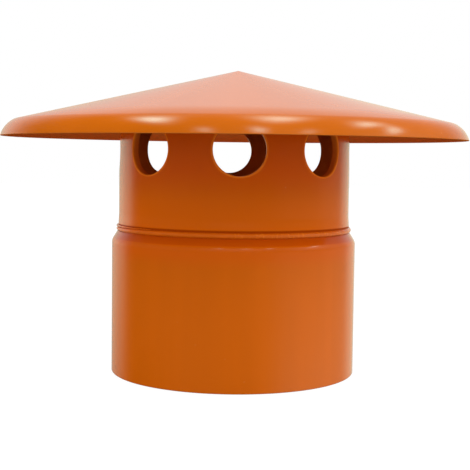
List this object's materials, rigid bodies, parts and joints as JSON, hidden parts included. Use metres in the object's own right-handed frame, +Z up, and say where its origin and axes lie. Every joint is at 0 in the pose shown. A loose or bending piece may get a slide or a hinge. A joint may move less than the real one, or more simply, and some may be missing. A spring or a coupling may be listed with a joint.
{
  "type": "roof vent cap",
  "caption": "Rain cap for the top of a round vent pipe: a shallow conical hood on a short pipe with a ring of drilled holes, welded into a wider socket collar.",
  "frame": {"origin": "centre of the collar's foot, where the cap stands on a table or over a pipe", "axes": "+Z up along the common axis of collar, short pipe and hood; one vent hole faces -Y"},
  "size_m": [0.2, 0.2, 0.1306],
  "materials": {
    "hood": "glossy orange PVC",
    "vent_tube": "glossy orange PVC",
    "socket_collar": "glossy orange PVC, slightly duller",
    "weld_bead": "melted orange PVC, uneven"
  },
  "bodies": {
    "root": {"hood": "hood", "vent_tube": "vent_tube", "socket_collar": "socket_collar", "weld_bead": "weld_bead"}
  },
  "joints": []
}
